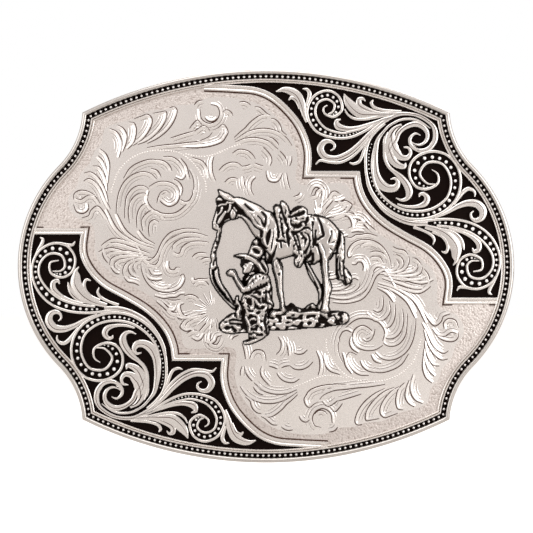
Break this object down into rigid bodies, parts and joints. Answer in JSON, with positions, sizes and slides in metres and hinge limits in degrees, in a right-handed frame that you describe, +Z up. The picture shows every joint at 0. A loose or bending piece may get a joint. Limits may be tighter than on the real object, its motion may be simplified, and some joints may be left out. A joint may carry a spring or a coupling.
{
  "type": "belt buckle",
  "caption": "Domed oval trophy belt buckle with applied scrollwork over dark corner fields, a cast figure group, and a hinged belt loop and hook behind.",
  "frame": {"origin": "middle of the plate's back face, which lies against the belt", "axes": "+X across the front towards the right as seen from the front, +Z up as worn, +Y out of the back towards the wearer"},
  "size_m": [0.105, 0.0161, 0.0826],
  "materials": {
    "plate": "satin nickel silver sheet",
    "rim": "polished half-round wire",
    "enamel": "black enamel, slightly glossy",
    "bright_silver": "polished silver",
    "engraved_silver": "bright-cut scrolls on a stippled ground",
    "antique_silver": "cast silver with blackened recesses",
    "hardware": "nickel-plated steel"
  },
  "bodies": {
    "buckle": {"base_plate": "plate", "outer_rim": "rim", "border_enamel": "enamel", "bead_wire": "bright_silver", "inner_ridge": "bright_silver", "engraved_panel": "engraved_silver", "panel_band_upper": "bright_silver", "panel_band_lower": "bright_silver", "enamel_field_upper": "enamel", "enamel_field_lower": "enamel", "scroll_overlay_upper": "bright_silver", "scroll_overlay_lower": "bright_silver", "cast_figure": "antique_silver", "hinge_pad": "plate", "hinge_tube": "hardware", "hook_pad": "plate", "hook": "hardware"},
    "bail": {"bail": "hardware"}
  },
  "joints": [
    {"name": "bail_swing", "type": "hinge", "parent": "buckle", "child": "bail", "pos_m": [0.028, 0.0061, 0], "axis": [0, 0, 1], "range_deg": [-5, 185]}
  ]
}
